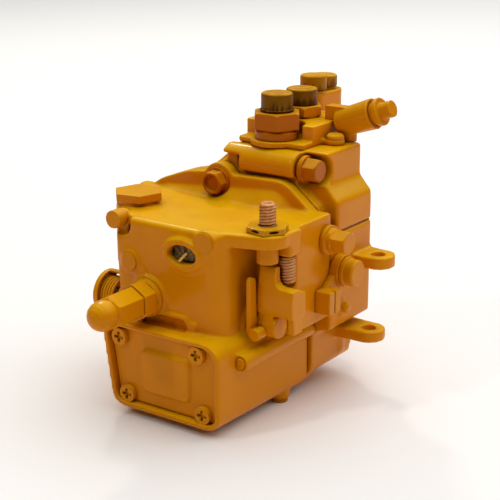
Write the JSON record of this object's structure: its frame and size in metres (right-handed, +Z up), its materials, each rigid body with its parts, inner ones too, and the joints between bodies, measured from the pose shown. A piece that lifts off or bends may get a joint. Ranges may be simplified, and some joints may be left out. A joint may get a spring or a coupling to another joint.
{
  "type": "fuel injection pump",
  "caption": "Single-plunger diesel injection pump with mechanical governor case, outlets in a row, throttle and stop levers and capped fuel ports.",
  "frame": {"origin": "camshaft axis where it crosses the drive mounting face", "axes": "+Y out of the drive end, so the governor end cover faces -Y; +Z up along the plunger; +X towards the throttle lever"},
  "size_m": [0.1655, 0.2188, 0.187],
  "materials": {
    "yellow_paint": "semi-gloss",
    "stud_steel": "threaded",
    "bare_steel": "machined",
    "dark_steel": "oiled",
    "bronze": "machined",
    "gasket": "matte",
    "seal_rubber": "matte"
  },
  "bodies": {
    "pump": {"governor_case": "yellow_paint", "end_cover": "yellow_paint", "pump_body": "yellow_paint", "head_housing": "yellow_paint", "head_plate": "yellow_paint", "flange_bolts": "yellow_paint", "filler_plug": "yellow_paint", "case_bolt": "yellow_paint", "core_plugs": "yellow_paint", "sealing_washers": "yellow_paint", "adjuster_lock_nut": "yellow_paint", "adjuster_cap_nut": "yellow_paint", "front_outlet_holder": "yellow_paint", "side_outlet_holder": "yellow_paint", "outlet_caps": "yellow_paint", "small_outlet_caps": "yellow_paint", "head_bolt": "yellow_paint", "inlet_elbow": "yellow_paint", "inlet_plug": "yellow_paint", "gallery_plug": "yellow_paint", "side_bolt": "yellow_paint", "leak_off_union": "yellow_paint", "leak_off_bolt": "yellow_paint", "high_stop_nut": "yellow_paint", "high_stop_collar": "yellow_paint", "spring_cup": "yellow_paint", "end_cover_screws": "yellow_paint", "stop_screws": "stud_steel", "rear_outlet_holders": "stud_steel", "adjuster_sleeve": "stud_steel", "stop_spring": "bare_steel", "lever_pivot": "bare_steel", "barrel": "bare_steel", "plunger_spring": "bare_steel", "governor_spring": "bare_steel", "delivery_valves": "bare_steel", "shaft_bearings": "bronze", "oil_plugs": "bronze", "end_cover_gasket": "gasket", "case_gasket": "gasket", "head_gasket": "gasket", "shaft_seal": "seal_rubber", "sight_disc": "dark_steel", "sight_pin": "bare_steel"},
    "camshaft": {"camshaft": "bare_steel", "flyweight_carrier": "bare_steel", "flyweight_pins": "bare_steel"},
    "flyweight_right": {"flyweight_right": "bare_steel"},
    "flyweight_left": {"flyweight_left": "bare_steel"},
    "governor_sleeve": {"governor_sleeve": "bare_steel"},
    "governor_lever": {"governor_lever": "bare_steel"},
    "control_rod": {"control_rod": "bare_steel"},
    "throttle": {"throttle_lever": "yellow_paint", "throttle_link": "yellow_paint", "throttle_shaft": "bare_steel"},
    "stop": {"stop_lever": "yellow_paint", "stop_shaft": "bare_steel"},
    "tappet": {"tappet": "bare_steel", "tappet_roller": "bare_steel", "plunger": "bare_steel"}
  },
  "joints": [
    {"name": "camshaft_turn", "type": "hinge", "parent": "pump", "child": "camshaft", "pos_m": [0, 0, 0], "axis": [0, 1, 0], "continuous": true},
    {"name": "flyweight_right_swing", "type": "hinge", "parent": "camshaft", "child": "flyweight_right", "pos_m": [0.016, -0.066, 0], "axis": [0, 0, 1], "range_deg": [0, 16]},
    {"name": "flyweight_left_swing", "type": "hinge", "parent": "camshaft", "child": "flyweight_left", "pos_m": [-0.016, -0.066, 0], "axis": [0, 0, -1], "range_deg": [0, 16]},
    {"name": "sleeve_slide", "type": "slide", "parent": "pump", "child": "governor_sleeve", "axis": [0, -1, 0], "range_m": [0, 0.0022]},
    {"name": "governor_lever_swing", "type": "hinge", "parent": "pump", "child": "governor_lever", "pos_m": [0, -0.099, 0.022], "axis": [-1, 0, 0], "range_deg": [0, 5.73]},
    {"name": "control_rod_slide", "type": "slide", "parent": "pump", "child": "control_rod", "axis": [0, 1, 0], "range_m": [0, 0.0034], "stiffness_N_per_m": 300},
    {"name": "throttle_swing", "type": "hinge", "parent": "pump", "child": "throttle", "pos_m": [0.04, -0.096, 0.0215], "axis": [1, 0, 0], "range_deg": [0, 25]},
    {"name": "stop_lever_swing", "type": "hinge", "parent": "pump", "child": "stop", "pos_m": [-0.05, -0.114, 0.026], "axis": [-1, 0, 0], "range_deg": [0, 30], "stiffness_Nm_per_rad": 0.3, "springref_deg": -5.73},
    {"name": "tappet_slide", "type": "slide", "parent": "pump", "child": "tappet", "axis": [0, 0, 1], "range_m": [-0.005, 0], "stiffness_N_per_m": 3000, "deforming": ["plunger_spring"]}
  ],
  "couplings": [
    {"joint": "flyweight_right_swing", "follows": "control_rod_slide", "rad_per_m": 82.125},
    {"joint": "flyweight_left_swing", "follows": "control_rod_slide", "rad_per_m": 82.125},
    {"joint": "sleeve_slide", "follows": "control_rod_slide", "ratio": 0.64699},
    {"joint": "governor_lever_swing", "follows": "control_rod_slide", "rad_per_m": 29.411}
  ]
}
